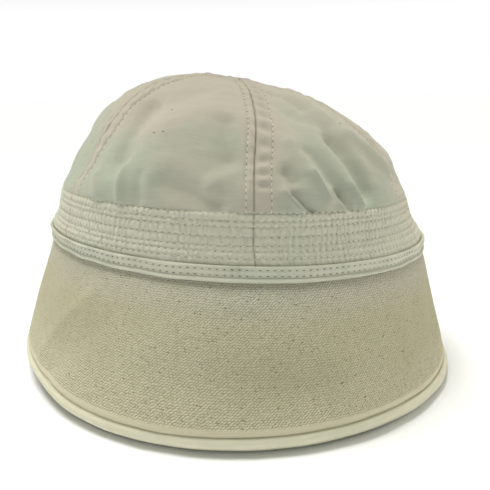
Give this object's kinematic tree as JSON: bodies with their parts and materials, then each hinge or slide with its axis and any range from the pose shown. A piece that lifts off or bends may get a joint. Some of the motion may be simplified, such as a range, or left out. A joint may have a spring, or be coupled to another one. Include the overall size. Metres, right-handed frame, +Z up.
{
  "type": "sailor cap",
  "caption": "Soft cream cotton sailor cap: round gored crown, quilted band, piped tape and turned-down bell brim with a rolled hem; worn on the head.",
  "frame": {"origin": "centre of the cap's bounding box at the level of the hem's foot, which rests on the surface", "axes": "+Z up towards the crown's apex, -Y towards the front, +X to the right as the front is looked at; the head goes in from below"},
  "size_m": [0.2144, 0.229, 0.1393],
  "materials": {
    "crown_cotton": "matt",
    "headband_cotton": "matt",
    "tape_cotton": "matt",
    "brim_cotton": "matt",
    "hem_cotton": "matt"
  },
  "bodies": {
    "root": {"crown_gore_1": "crown_cotton", "crown_gore_2": "crown_cotton", "crown_gore_3": "crown_cotton", "crown_gore_4": "crown_cotton", "crown_gore_5": "crown_cotton", "crown_gore_6": "crown_cotton", "headband": "headband_cotton", "band_tape": "tape_cotton", "brim": "brim_cotton", "brim_hem": "hem_cotton"}
  },
  "joints": []
}
